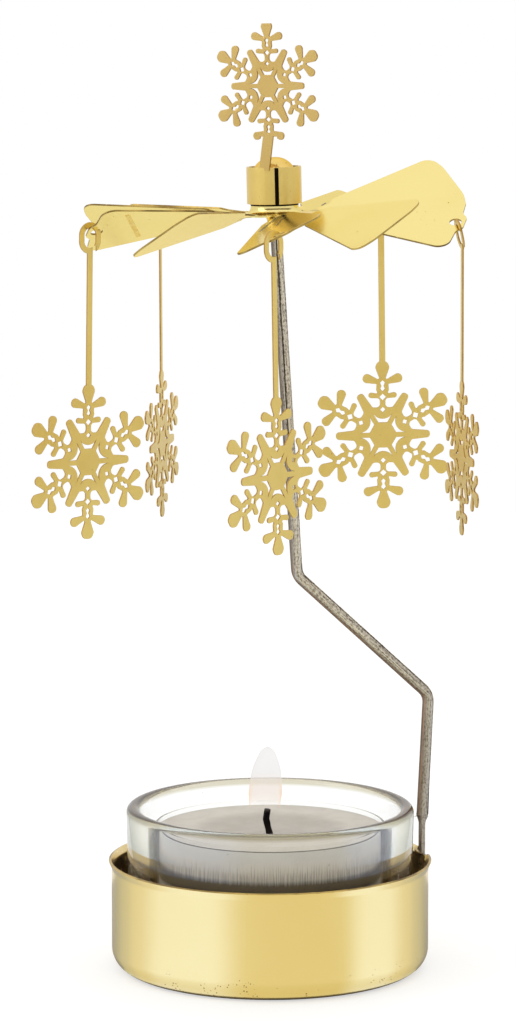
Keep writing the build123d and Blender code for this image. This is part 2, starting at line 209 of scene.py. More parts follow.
def buildClearSkin():
    # Faint unevenness of pressed glass, smears, a few specks of dust and a painted shade tint along
    # the top rim
    look = {"rimWidth": 0.8, "smearScale": 160.0, "smearRange": (0.45, 0.75), "bumpDepth": 0.05}
    tree, given, result = newSkin(
        "clearSkin",
        {
            "Clear Color": (1, 1, 1, 1),
            "Rim Shade Color": (1, 1, 1, 1),
            "Rim Height": 1.0,
            "Dust Color": (0.5, 0.45, 0.4, 1),
            "Wave Scale": 90.0,
            "Wave": 0.3,
            "Dust Scale": 420.0,
            "Dust Size": 0.05,
            "Rough Low": 0.0,
            "Rough High": 0.06,
        },
    )
    place, split = objectPlace(tree)
    # Painted shade of refraction in the rounded rim tints the glass from just below the rim's
    # height upward
    rimLow = mathNode(tree, "SUBTRACT", given["Rim Height"], look["rimWidth"] * mm)
    rim = rangeNode(tree, split["Z"], rimLow, given["Rim Height"])
    body = mixColors(tree, rim, given["Clear Color"], given["Rim Shade Color"])
    dust = speckMask(tree, place, given["Dust Scale"], given["Dust Size"])
    color = mixColors(tree, dust, body, given["Dust Color"])
    smear = noiseNode(tree, place, look["smearScale"], 4.0, 0.65)
    rough = rangeNode(tree, smear, *look["smearRange"], given["Rough Low"], given["Rough High"])
    wave = noiseNode(tree, place, given["Wave Scale"], 1.0)
    return finishSkin(tree, result, color, rough, wave, given["Wave"], look["bumpDepth"])


def buildSoftSkin():
    # Matt skin of wax or charred cotton, coloured by height from top to bottom, with dark ribs of
    # painted shade at the foot of a side
    look = {
        "mottleRange": (0.4, 0.75),
        "mottleDark": 0.45,
        "turnScale": 110.0,
        "heightScale": 150.0,
        "combRange": (0.35, 0.65),
        "ribFade": 0.45,
        "footShare": 0.55,
        "footSway": 0.4,
        "plainLow": 2.4,
        "plainHigh": 1.4,
        "roughRange": (0.3, 0.7),
        "bumpDepth": 0.08,
    }
    tree, given, result = newSkin(
        "softSkin",
        {
            "Top Color": (0.8, 0.78, 0.75, 1),
            "Low Color": (0.6, 0.58, 0.55, 1),
            "Low Height": 0.0,
            "High Height": 0.02,
            "Mottle Scale": 300.0,
            "Mottle Share": 0.2,
            "Rib Shade Color": (0.2, 0.14, 0.1, 1),
            "Rib Share": 0.0,
            "Rib Low": 0.0,
            "Rib High": 1.0,
            "Rough Low": 0.4,
            "Rough High": 0.6,
            "Bump": 0.3,
        },
    )
    place, split = objectPlace(tree)
    height = split["Z"]
    rise = rangeNode(tree, height, given["Low Height"], given["High Height"])
    base = mixColors(tree, rise, given["Low Color"], given["Top Color"])
    mottle = noiseNode(tree, place, given["Mottle Scale"], 4.0, 0.6)
    dark = mixColors(tree, look["mottleDark"], base, (0.0, 0.0, 0.0, 1.0))
    share = product(tree, rangeNode(tree, mottle, *look["mottleRange"]), given["Mottle Share"])
    mottled = mixColors(tree, share, base, dark)
    # Painted shade: fine dark ribs run up from a dark foot of the side and end at uneven heights
    turn = mathNode(tree, "ARCTAN2", split["X"], product(tree, split["Y"], -1.0))
    across = product(tree, turn, look["turnScale"])
    along = product(tree, height, look["heightScale"])
    comb = noiseNode(tree, flatVector(tree, across, along), 1.0, 1.0)
    comb = rangeNode(tree, comb, *look["combRange"], -0.5, 0.5)
    ribLow, ribHigh = given["Rib Low"], given["Rib High"]
    reach = mathNode(tree, "SUBTRACT", ribHigh, ribLow)
    ribTop = mathNode(tree, "ADD", height, product(tree, comb, reach))
    ribs = rangeNode(tree, ribTop, ribLow, ribHigh, look["ribFade"], 0.0)
    footTop = mathNode(tree, "ADD", ribLow, product(tree, reach, look["footShare"]))
    sway = mathNode(tree, "ADD", height, product(tree, comb, look["footSway"] * mm))
    foot = rangeNode(tree, sway, ribLow, footTop, 1.0, 0.0)
    ribs = product(tree, mathNode(tree, "MAXIMUM", ribs, foot), given["Rib Share"])
    # Lower down, where the brass cup hides it at rest, the side is plain again
    plainLow = mathNode(tree, "SUBTRACT", ribLow, look["plainLow"] * mm)
    plainHigh = mathNode(tree, "SUBTRACT", ribLow, look["plainHigh"] * mm)
    ribs = product(tree, ribs, rangeNode(tree, height, plainLow, plainHigh))
    color = mixColors(tree, ribs, mottled, given["Rib Shade Color"])
    rough = rangeNode(tree, mottle, *look["roughRange"], given["Rough Low"], given["Rough High"])
    return finishSkin(tree, result, color, rough, mottle, given["Bump"], look["bumpDepth"])


def buildRolledSkin():
    # Drawn streaks and mottles that follow the bent strip, with painted shade on one side, a dark
    # line of painted seam shadow and a copper line. The stem's own UV gives the turn about its
    # middle line in radians and the length along it in millimetres.
    look = {
        "streakScale": (6.0, 0.16),
        "mottleScale": (3.4, 1.9),
        "fleckScale": (9.0, 4.5),
        "lightRange": (0.38, 0.56),
        "shadeSideRange": (-1.2, 0.05, 0.15, 1.0),
        "fleckRange": (0.56, 0.64),
        "fleckShare": 0.55,
        "lowDarkTop": 58.0,
        "waver": 0.12,
        "softness": 0.12,
        "lineWidth": 0.13,
        "lineRise": 12.0,
        "lineShare": 0.9,
        "copperWidth": 0.10,
        "copperFade": 10.0,
        "copperRange": (0.4, 0.6, 0.35, 0.95),
        "roughRange": (0.3, 0.7),
        "bumpDepth": 0.04,
    }
    tree, given, result = newSkin(
        "rolledSkin",
        {
            "Face Color": (0.6, 0.55, 0.5, 1),
            "Deep Color": (0.2, 0.18, 0.15, 1),
            "Seam Shadow Color": (0.03, 0.02, 0.02, 1),
            "Copper Color": (0.5, 0.3, 0.2, 1),
            "Line Turn": -0.25,
            "Line Start": 80.0,
            "Copper Turn": -0.95,
            "Copper End": 60.0,
            "Low Dark Share": 0.0,
            "Low Dark End": 30.0,
            "Rough Low": 0.35,
            "Rough High": 0.55,
            "Bump": 0.5,
        },
    )
    place = splitVector(tree, addNode(tree, "ShaderNodeUVMap", uv_map="stemPlace").outputs["UV"])
    turn, length = place["X"], place["Y"]

    def grainNoise(across, along):
        vector = flatVector(tree, product(tree, turn, across), product(tree, length, along))
        return noiseNode(tree, vector, 1.0, 3.0, 0.6)

    streak = grainNoise(*look["streakScale"])
    mottle = grainNoise(*look["mottleScale"])
    fleck = grainNoise(*look["fleckScale"])
    body = mathNode(tree, "ADD", product(tree, streak, 0.5), product(tree, mottle, 0.5))
    light = rangeNode(tree, body, *look["lightRange"])
    # Painted shade: the strip is darker on one side, at negative turns
    light = product(tree, light, rangeNode(tree, turn, *look["shadeSideRange"]))
    base = mixColors(tree, light, given["Deep Color"], given["Face Color"])
    flecks = product(tree, rangeNode(tree, fleck, *look["fleckRange"]), look["fleckShare"])
    base = mixColors(tree, flecks, base, given["Deep Color"])
    # The stem is darker towards its foot, fading out higher up
    lowDark = rangeNode(tree, length, given["Low Dark End"], look["lowDarkTop"], given["Low Dark Share"], 0.0)
    base = mixColors(tree, lowDark, base, given["Deep Color"])

    def lineMask(middle, width):
        offset = mathNode(tree, "ABSOLUTE", mathNode(tree, "SUBTRACT", turn, middle))
        wavy = mathNode(tree, "ADD", offset, product(tree, mottle, look["waver"]))
        return rangeNode(tree, wavy, width, width + look["softness"], 1.0, 0.0)

    # Painted seam shadow: a dark line along Line Turn, rising in from Line Start
    lineTop = mathNode(tree, "ADD", given["Line Start"], look["lineRise"])
    risen = rangeNode(tree, length, given["Line Start"], lineTop)
    line = product(tree, lineMask(given["Line Turn"], look["lineWidth"]), risen)
    base = mixColors(tree, product(tree, line, look["lineShare"]), base, given["Seam Shadow Color"])
    copperTop = mathNode(tree, "ADD", given["Copper End"], look["copperFade"])
    faded = rangeNode(tree, length, given["Copper End"], copperTop, 1.0, 0.0)
    copper = product(tree, lineMask(given["Copper Turn"], look["copperWidth"]), faded)
    copper = product(tree, copper, rangeNode(tree, streak, *look["copperRange"]))
    color = mixColors(tree, copper, base, given["Copper Color"])
    rough = rangeNode(tree, mottle, *look["roughRange"], given["Rough Low"], given["Rough High"])
    return finishSkin(tree, result, color, rough, fleck, given["Bump"], look["bumpDepth"])


metalSkin = buildMetalSkin()
rolledSkin = buildRolledSkin()
clearSkin = buildClearSkin()
softSkin = buildSoftSkin()


# What the flame and the floor's cards share: a dull dark face that only gives light
glowOnly = {"Base Color": (0.02, 0.02, 0.02, 1), "Roughness": 1.0, "Specular IOR Level": 0.0}


def newMaterial(name, shaderValues):
    material = bpy.data.materials.new(name)
    material.use_nodes = True
    shader = material.node_tree.nodes["Principled BSDF"]
    setInputs(shader, shaderValues)
    return material, shader


def makeMaterial(name, group, skinValues, shaderValues):
    material, shader = newMaterial(name, shaderValues)
    skin = addNode(material.node_tree, "ShaderNodeGroup", node_tree=group)
    setInputs(skin, skinValues)
    for output, socket in (
        ("Color", "Base Color"),
        ("Roughness", "Roughness"),
        ("Normal", "Normal"),
    ):
        material.node_tree.links.new(skin.outputs[output], shader.inputs[socket])
    return material


trayBrass = makeMaterial(
    "trayBrass",
    metalSkin,
    {
        "Face Color": (0.84, 0.66, 0.305, 1),
        "Deep Color": (0.79, 0.60, 0.25, 1),
        "Speck Color": (0.22, 0.11, 0.03, 1),
        "Cloud Scale": 45.0,
        "Cloud Share": 0.4,
        "Grain Scale": 500.0,
        "Grain Stretch": (1, 1, 10),
        "Speck Scale": 1700.0,
        "Speck Size": 0.24,
        "Speck Low": 1.0 * mm,
        "Speck High": 7.5 * mm,
        "Rough Low": 0.19,
        "Rough High": 0.23,
        "Bump": 0.05,
    },
    {"Metallic": 1.0, "Coat Weight": 0.2, "Coat Roughness": 0.3},
)
# Painted shade: a dark copy of the brass for the cup's inside, its lighter specks painted glints
insideShadeBrass = makeMaterial(
    "insideShadeBrass",
    metalSkin,
    {
        "Face Color": (0.40, 0.27, 0.10, 1),
        "Deep Color": (0.17, 0.10, 0.03, 1),
        "Speck Color": (0.7, 0.5, 0.2, 1),
        "Cloud Scale": 160.0,
        "Cloud Share": 0.8,
        "Grain Scale": 900.0,
        "Speck Scale": 500.0,
        "Speck Size": 0.2,
        "Rough Low": 0.25,
        "Rough High": 0.4,
        "Bump": 0.4,
    },
    {"Metallic": 1.0},
)
bladeBrass = makeMaterial(
    "bladeBrass",
    metalSkin,
    {
        "Face Color": (0.87, 0.73, 0.30, 1),
        "Deep Color": (0.83, 0.68, 0.25, 1),
        "Speck Color": (0.35, 0.20, 0.05, 1),
        "Cloud Scale": 70.0,
        "Cloud Share": 0.45,
        "Grain Scale": 1500.0,
        "Speck Scale": 600.0,
        "Speck Size": 0.07,
        "Rough Low": 0.13,
        "Rough High": 0.20,
        "Bump": 0.12,
    },
    {"Metallic": 1.0, "Specular Tint": (1.0, 0.9, 0.6, 1)},
)
domeBrass = makeMaterial(
    "domeBrass",
    metalSkin,
    {
        "Face Color": (0.82, 0.59, 0.19, 1),
        "Deep Color": (0.74, 0.48, 0.13, 1),
        "Speck Color": (0.2, 0.1, 0.03, 1),
        "Cloud Scale": 300.0,
        "Cloud Share": 0.6,
        "Grain Scale": 1500.0,
        "Speck Scale": 1200.0,
        "Speck Size": 0.12,
        "Rough Low": 0.12,
        "Rough High": 0.2,
        "Bump": 0.3,
    },
    {"Metallic": 1.0, "Specular Tint": (1.0, 0.8, 0.4, 1)},
)
# Dark brass for the cup's rim top and foot and the blades' cut edges. At the cup's foot it is
# painted shade where the cup stands on the floor, and its lighter specks are painted glints.
edgeBrass = makeMaterial(
    "edgeBrass",
    metalSkin,
    {
        "Face Color": (0.58, 0.41, 0.12, 1),
        "Deep Color": (0.13, 0.07, 0.02, 1),
        "Speck Color": (0.8, 0.6, 0.25, 1),
        "Cloud Scale": 150.0,
        "Cloud Share": 0.9,
        "Grain Scale": 2500.0,
        "Speck Scale": 900.0,
        "Speck Size": 0.15,
        "Rough Low": 0.25,
        "Rough High": 0.45,
        "Bump": 0.4,
    },
    {"Metallic": 1.0},
)
# Near-black painted shade for the thimble behind and just below the wheel's collar
seamShade = makeMaterial(
    "seamShade",
    metalSkin,
    {
        "Face Color": (0.010, 0.006, 0.003, 1),
        "Deep Color": (0.004, 0.003, 0.002, 1),
        "Speck Color": (0.06, 0.03, 0.01, 1),
        "Cloud Scale": 500.0,
        "Rough Low": 0.5,
        "Rough High": 0.8,
    },
    {"Metallic": 0.3, "Specular IOR Level": 0.1},
)
# Painted reflection: dark lines where the twisted blades mirror dark, standing for folds the shape
# lacks
darkFoldReflection = makeMaterial(
    "darkFoldReflection",
    metalSkin,
    {
        "Face Color": (0.05, 0.03, 0.01, 1),
        "Deep Color": (0.30, 0.19, 0.05, 1),
        "Cloud Scale": 450.0,
        "Cloud Share": 0.8,
        "Rough Low": 0.2,
        "Rough High": 0.35,
    },
    {"Metallic": 1.0},
)
# Painted reflection: a deeper gold line on the left blade, standing for a fold the shape lacks
goldFoldReflection = makeMaterial(
    "goldFoldReflection",
    metalSkin,
    {
        "Face Color": (0.80, 0.55, 0.09, 1),
        "Deep Color": (0.86, 0.67, 0.18, 1),
        "Cloud Scale": 700.0,
        "Cloud Share": 0.9,
        "Rough Low": 0.25,
        "Rough High": 0.4,
    },
    {"Metallic": 1.0},
)
flakeGold = makeMaterial(
    "flakeGold",
    metalSkin,
    {
        "Face Color": (0.81, 0.61, 0.19, 1),
        "Deep Color": (0.73, 0.52, 0.14, 1),
        "Speck Color": (0.30, 0.17, 0.05, 1),
        "Cloud Scale": 160.0,
        "Cloud Share": 0.4,
        "Grain Scale": 2500.0,
        "Speck Scale": 900.0,
        "Speck Size": 0.06,
        "Rough Low": 0.30,
        "Rough High": 0.42,
        "Bump": 0.3,
    },
    {"Metallic": 1.0, "Coat Weight": 0.15, "Coat Roughness": 0.25},
)
# Painted shade: a darker copy of the flake gold for the tilted topper
shadedTopperGold = makeMaterial(
    "shadedTopperGold",
    metalSkin,
    {
        "Face Color": (0.65, 0.46, 0.16, 1),
        "Deep Color": (0.58, 0.39, 0.12, 1),
        "Speck Color": (0.30, 0.17, 0.05, 1),
        "Cloud Scale": 160.0,
        "Cloud Share": 0.5,
        "Grain Scale": 2500.0,
        "Speck Scale": 900.0,
        "Speck Size": 0.06,
        "Rough Low": 0.30,
        "Rough High": 0.42,
        "Bump": 0.3,
    },
    {"Metallic": 1.0, "Coat Weight": 0.1, "Coat Roughness": 0.25},
)
# Darker gold for the sheets' cut edges: tarnish and painted shade of their sides
cutEdgeGold = makeMaterial(
    "cutEdgeGold",
    metalSkin,
    {
        "Face Color": (0.55, 0.33, 0.09, 1),
        "Deep Color": (0.38, 0.20, 0.05, 1),
        "Speck Color": (0.15, 0.07, 0.02, 1),
        "Cloud Scale": 500.0,
        "Cloud Share": 0.6,
        "Grain Scale": 3000.0,
        "Speck Scale": 900.0,
        "Speck Size": 0.1,
        "Rough Low": 0.35,
        "Rough High": 0.5,
        "Bump": 0.5,
    },
    {"Metallic": 1.0},
)
stemSteel = makeMaterial(
    "stemSteel",
    rolledSkin,
    {
        "Face Color": (0.81, 0.74, 0.62, 1),
        "Deep Color": (0.17, 0.13, 0.095, 1),
        "Seam Shadow Color": (0.02, 0.014, 0.01, 1),
        "Copper Color": (0.48, 0.25, 0.13, 1),
        "Line Turn": -0.25,
        "Line Start": 84.0,
        "Copper Turn": -0.95,
        "Copper End": 70.0,
        "Low Dark Share": 0.42,
        "Low Dark End": 30.0,
        "Rough Low": 0.34,
        "Rough High": 0.55,
        "Bump": 0.7,
    },
    {"Metallic": 1.0},
)
footMetal = makeMaterial(
    "footMetal",
    metalSkin,
    {
        "Face Color": (0.72, 0.72, 0.72, 1),
        "Deep Color": (0.55, 0.55, 0.56, 1),
        "Cloud Scale": 300.0,
        "Grain Scale": 2000.0,
        "Rough Low": 0.3,
        "Rough High": 0.45,
    },
    {"Metallic": 1.0},
)
pressedGlass = makeMaterial(
    "pressedGlass",
    clearSkin,
    {
        "Clear Color": (0.985, 0.992, 0.985, 1),
        "Rim Shade Color": (0.53, 0.48, 0.32, 1),
        "Rim Height": 27.1 * mm,
        "Dust Color": (0.45, 0.42, 0.38, 1),
        "Wave Scale": 80.0,
        "Wave": 0.12,
        "Dust Scale": 380.0,
        "Dust Size": 0.035,
        "Rough Low": 0.0,
        "Rough High": 0.03,
    },
    {"Transmission Weight": 1.0, "IOR": 1.5},
)
shellPlastic = makeMaterial(
    "shellPlastic",
    clearSkin,
    {
        "Clear Color": (0.97, 0.97, 0.965, 1),
        "Wave Scale": 200.0,
        "Wave": 0.2,
        "Dust Scale": 500.0,
        "Dust Size": 0.03,
        "Rough Low": 0.03,
        "Rough High": 0.12,
    },
    {"Transmission Weight": 1.0, "IOR": 1.12},
)
# Light that a thick wall throws about inside passes more and more straight out, so that the glass
# stays clear
thrownShare = 0.7
for material in (pressedGlass, shellPlastic):
    tree = material.node_tree
    thrown = addNode(tree, "ShaderNodeLightPath").outputs["Glossy Depth"]
    alpha = mathNode(tree, "SUBTRACT", 1.0, product(tree, thrown, thrownShare), clamp=True)
    tree.links.new(alpha, tree.nodes["Principled BSDF"].inputs["Alpha"])
candleWax = makeMaterial(
    "candleWax",
    softSkin,
    {
        "Top Color": (0.54, 0.50, 0.44, 1),
        "Low Color": (0.43, 0.395, 0.345, 1),
        "Low Height": 23.4 * mm,
        "High Height": 23.74 * mm,
        "Mottle Scale": 260.0,
        "Mottle Share": 0.12,
        "Rough Low": 0.38,
        "Rough High": 0.55,
        "Bump": 0.2,
    },
    {
        "Subsurface Weight": 0.3,
        "Subsurface Scale": 0.004,
        "Subsurface Radius": (1.0, 0.9, 0.8),
        "Specular IOR Level": 0.2,
    },
)
# Painted light: the wax side is lighter low down than at the top, against the shade of the cup, and
# its dark ribs and foot are painted shade
waxSide = makeMaterial(
    "waxSide",
    softSkin,
    {
        "Top Color": (0.86, 0.82, 0.76, 1),
        "Low Color": (0.97, 0.90, 0.80, 1),
        "Low Height": 20.5 * mm,
        "High Height": 23.6 * mm,
        "Mottle Scale": 400.0,
        "Mottle Share": 0.1,
        "Rib Shade Color": (0.065, 0.043, 0.027, 1),
        "Rib Share": 0.9,
        "Rib Low": 17.9 * mm,
        "Rib High": 20.8 * mm,
        "Rough Low": 0.4,
        "Rough High": 0.55,
        "Bump": 0.2,
    },
    {
        "Subsurface Weight": 0.1,
        "Subsurface Scale": 0.001,
        "Subsurface Radius": (1.0, 0.9, 0.8),
        "Specular IOR Level": 0.2,
    },
)
waxRim = makeMaterial(
    "waxRim",
    softSkin,
    {
        "Top Color": (0.10, 0.075, 0.05, 1),
        "Low Color": (0.10, 0.075, 0.05, 1),
        "Mottle Scale": 900.0,
        "Mottle Share": 0.5,
    },
    {"Specular IOR Level": 0.2},
)
charredWick = makeMaterial(
    "charredWick",
    softSkin,
    {
        "Top Color": (0.004, 0.003, 0.003, 1),
        "Low Color": (0.014, 0.009, 0.008, 1),
        "Low Height": 22.5 * mm,
        "High Height": 25 * mm,
        "Mottle Scale": 2500.0,
        "Mottle Share": 0.6,
        "Rough Low": 0.5,
        "Rough High": 0.9,
        "Bump": 1.0,
    },
    {"Specular IOR Level": 0.08},
)
print("materials built")


# Shape helpers
def mergedCopy(nodeName, mergeReach=0.0002, flatAngle=0.4):
    # One surface from the node's loose triangles, with flat faces joined again
    shape = bmesh.new()
    shape.from_mesh(cadNodes[nodeName].data)
    bmesh.ops.remove_doubles(shape, verts=shape.verts[:], dist=mergeReach * mm)
    bmesh.ops.dissolve_limit(
        shape, angle_limit=math.radians(flatAngle), verts=shape.verts[:], edges=shape.edges[:]
    )
    return shape


def softenEdges(shape, width, sharpAngle=35.0):
    limit = math.radians(sharpAngle)
    sharp = [e for e in shape.edges if e.is_manifold and e.calc_face_angle(0.0) > limit]
    bmesh.ops.bevel(
        shape,
        geom=sharp,
        offset=width * mm,
        offset_type="OFFSET",
        affect="EDGES",
        segments=2,
        profile=0.5,
        material=-1,
        clamp_overlap=False,
    )


def spunShape(corners, steps, roundSteps=6, mergeReach=0.0005):
    # Turned shape from a line of (reach, height, rounding) corners
    shape = bmesh.new()
    verts = [shape.verts.new((reach * mm, 0, height * mm)) for reach, height, rounding in corners]
    for first, second in zip(verts, verts[1:]):
        shape.edges.new((first, second))
    for vert, (reach, height, rounding) in zip(verts, corners):
        if rounding:
            before, after = [edge.other_vert(vert).co - vert.co for edge in vert.link_edges]
            turn = math.pi - before.angle(after)
            bmesh.ops.bevel(
                shape,
                geom=[vert],
                offset=rounding * mm * math.tan(turn / 2),
                offset_type="OFFSET",
                affect="VERTICES",
                segments=roundSteps,
                profile=0.5,
                material=-1,
            )
    bmesh.ops.spin(
        shape,
        geom=shape.verts[:] + shape.edges[:],
        cent=(0, 0, 0),
        axis=(0, 0, 1),
        angle=math.tau,
        steps=steps,
        use_merge=True,
    )
    bmesh.ops.remove_doubles(shape, verts=shape.verts[:], dist=mergeReach * mm)
    bmesh.ops.recalc_face_normals(shape, faces=shape.faces[:])
    return shape


def newObject(name, shape, materials):
    mesh = bpy.data.meshes.new(name)
    shape.to_mesh(mesh)
    shape.free()
    for material in materials:
        mesh.materials.append(material)
    made = bpy.data.objects.new(name, mesh)
    scene.collection.objects.link(made)
    return made


def finishPiece(name, shape, materials, body, node=None, weighted=True):
    piece = newObject(name, shape, materials)
    piece.data.shade_smooth()
    if weighted:
        piece.modifiers.new("Weighted", "WEIGHTED_NORMAL").keep_sharp = True
    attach(piece, body)
    if node:
        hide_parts(node)
    return piece


# Candle cup
candleCupLook = {
    "edgeWidth": 0.08,
    "rimHeight": 18.2,
    "rimSlope": 0.7,
    "footHigh": 0.2,
    "footSlope": (-0.999, -0.85),
    "insideReach": 26.5,
    "insideHeight": (0.3, 17.0),
    "outwardLimit": 0.0001,
}
shape = mergedCopy("candle_cup")
for face in shape.faces:
    middle = face.calc_center_median() / mm
    onRim = middle.z > candleCupLook["rimHeight"] and face.normal.z > candleCupLook["rimSlope"]
    # The dark edge brass on the foot is painted shade where the cup stands on the floor
    footLow, footHigh = candleCupLook["footSlope"]
    onFoot = middle.z < candleCupLook["footHigh"] and footLow < face.normal.z < footHigh
    # Faces inside the cup take the dark brass of painted shade
    insideLow, insideHigh = candleCupLook["insideHeight"]
    outward = face.normal.x * middle.x + face.normal.y * middle.y
    inside = insideLow < middle.z < insideHigh and outward <= candleCupLook["outwardLimit"]
    inside = inside and math.hypot(middle.x, middle.y) < candleCupLook["insideReach"]
    face.material_index = 1 if onRim or onFoot else 2 if inside else 0
softenEdges(shape, candleCupLook["edgeWidth"])
finishPiece("brassCup", shape, [trayBrass, edgeBrass, insideShadeBrass], "base", "candle_cup")

# Stem
supportStemLook = {
    "edgeWidth": 0.08,
    "azimuth": 103.0,
    # reach and height of the strip's middle line, from the foot to the needle
    "path": ((26.6, 4.0), (26.6, 24.5), (27.6, 45.6), (4.65, 66.8), (0.55, 131.0), (0.55, 137.0)),
}
shape = mergedCopy("support_stem")
softenEdges(shape, supportStemLook["edgeWidth"])
turn = math.radians(supportStemLook["azimuth"])
outward = Vector((math.sin(turn), -math.cos(turn), 0))
forward = Vector((-math.cos(turn), -math.sin(turn), 0))
path = [Vector(point) for point in supportStemLook["path"]]


def stemPlace(point):
    # turn about the middle line from the side that faces the front, and length along it
    flat = Vector((point.dot(outward), point.z)) / mm
    best = None
    done = 0.0
    for start, end in zip(path, path[1:]):
        step = end - start
        share = min(max((flat - start).dot(step) / step.length_squared, 0.0), 1.0)
        miss = flat - (start + step * share)
        if best is None or miss.length < best[0]:
            side = miss.dot(Vector((step.y, -step.x)).normalized())
            best = (miss.length, side, done + step.length * share)
        done += step.length
    return math.atan2(best[1], point.dot(forward) / mm), best[2]


stemLayer = shape.loops.layers.uv.new("stemPlace")
for face in shape.faces:
    middle = stemPlace(face.calc_center_median())[0]
    for loop in face.loops:
        turn, length = stemPlace(loop.vert.co)
        if turn - middle > math.pi:
            turn -= math.tau
        elif middle - turn > math.pi:
            turn += math.tau
        loop[stemLayer].uv = (turn, length)
finishPiece("steelStem", shape, [stemSteel], "base", "support_stem")
print("cup and stem built")

# Glass candle cup
glassCupLook = {
    "line": [
        (0, 0.5, 0),
        (23.7, 0.5, 3.2),
        (24.3, 27.7, 1.0),
        (22.0, 27.7, 1.0),
        (20.6, 4.5, 1.5),
        (0, 4.5, 0),
    ],
    "steps": 160,
}
shape = spunShape(glassCupLook["line"], glassCupLook["steps"])
finishPiece("glassCup", shape, [pressedGlass], "glass", "glass_cup", weighted=False)

# Tealight: clear shell, wax, wick, its metal foot and the flame
tealightLook = {
    "shellLine": [
        (0, 4.55, 0),
        (19.45, 4.55, 1.2),
        (19.45, 24.55, 0.1),
        (19.15, 24.55, 0.1),
        (19.15, 4.85, 0.9),
        (0, 4.85, 0),
    ],
    "waxLine": [
        (0, 4.88, 0),
        (19.22, 4.88, 0.9),
        (19.22, 23.75, 0.15),
        (13.5, 23.68, 6.0),
        (6.5, 22.95, 8.0),
        (2.0, 22.68, 1.5),
        (0.8, 22.80, 0.3),
        (0, 22.85, 0),
    ],
    "steps": 200,
    "sideReach": 19.1,
    "sideSlope": 0.3,
    "rimReach": 18.95,
    "rimHeight": 23.5,
}
shape = spunShape(tealightLook["shellLine"], tealightLook["steps"])
finishPiece("tealightShell", shape, [shellPlastic], "tealight", "tealight_shell", weighted=False)
shape = spunShape(tealightLook["waxLine"], tealightLook["steps"])
for face in shape.faces:
    middle = face.calc_center_median() / mm
    reach = math.hypot(middle.x, middle.y)
    if reach > tealightLook["sideReach"] and abs(face.normal.z) < tealightLook["sideSlope"]:
        face.material_index = 1
    elif reach > tealightLook["rimReach"] and middle.z > tealightLook["rimHeight"]:
        face.material_index = 2
finishPiece("waxFill", shape, [candleWax, waxSide, waxRim], "tealight", "wax", weighted=False)

wickLook = {"longEdge": 0.8, "cuts": 3, "roughness": 0.10, "twistScale": 900.0}
shape = mergedCopy("wick")
longEdges = [e for e in shape.edges if e.calc_length() > wickLook["longEdge"] * mm]
bmesh.ops.subdivide_edges(shape, edges=longEdges, cuts=wickLook["cuts"], use_grid_fill=True)
bmesh.ops.triangulate(shape, faces=shape.faces[:])
for vert in shape.verts:
    push = noise.noise(vert.co * wickLook["twistScale"]) * wickLook["roughness"] * mm
    vert.co += vert.normal * push
finishPiece("cottonWick", shape, [charredWick], "tealight", "wick", weighted=False)
cadNodes["wick_sustainer"].data.materials.clear()
cadNodes["wick_sustainer"].data.materials.append(footMetal)

# Flame: a pale see-through drop over the wick, pinker low down
flameLook = {
    "line": [
        (0, 26.6, 0),
        (2.5, 26.8, 0.8),
        (2.85, 30.0, 6.0),
        (2.45, 34.0, 8.0),
        (1.15, 37.2, 2.0),
        (0, 37.8, 0),
    ],
    "shift": -0.9,
    "lean": 0.05,
    "leanFoot": 28.0,
    "steps": 48,
    "paleColor": (0.79, 0.77, 0.75, 1),
    "warmColor": (0.90, 0.60, 0.36, 1),
    "riseHeight": (28.5, 33.5),
    "fadeHeight": (26.8, 29.6),
    "edgeBlend": 0.35,
    "paleEdge": (0.1, 0.8, 0.7, 0.0),
    "veilEdge": (0.2, 0.95, 0.42, 0.62),
    "flickerScale": 180.0,
    "flickerRange": (0.2, 0.8, 0.85, 1.15),
}
shape = spunShape(flameLook["line"], flameLook["steps"])
for vert in shape.verts:
    vert.co.x += flameLook["shift"] * mm
    vert.co.x += flameLook["lean"] * (vert.co.z - flameLook["leanFoot"] * mm)
candleFlame, shader = newMaterial("candleFlame", {**glowOnly, "Emission Strength": 1.0})
tree = candleFlame.node_tree
place, split = objectPlace(tree)
rise = rangeNode(tree, split["Z"], *[height * mm for height in flameLook["riseHeight"]])
edge = addNode(tree, "ShaderNodeLayerWeight")
edge.inputs["Blend"].default_value = flameLook["edgeBlend"]
facing = edge.outputs["Facing"]
pale = mathNode(tree, "MAXIMUM", rise, rangeNode(tree, facing, *flameLook["paleEdge"]))
glow = mixColors(tree, pale, flameLook["warmColor"], flameLook["paleColor"])
tree.links.new(glow, shader.inputs["Emission Color"])
flicker = noiseNode(tree, place, flameLook["flickerScale"], 2.0)
flicker = rangeNode(tree, flicker, *flameLook["flickerRange"])
veil = product(tree, rangeNode(tree, facing, *flameLook["veilEdge"]), flicker)
fade = rangeNode(tree, split["Z"], *[height * mm for height in flameLook["fadeHeight"]])
tree.links.new(product(tree, veil, fade), shader.inputs["Alpha"])
flame = finishPiece("candleFlame", shape, [candleFlame], "tealight", weighted=False)
flame.visible_shadow = False
print("glass and tealight built")

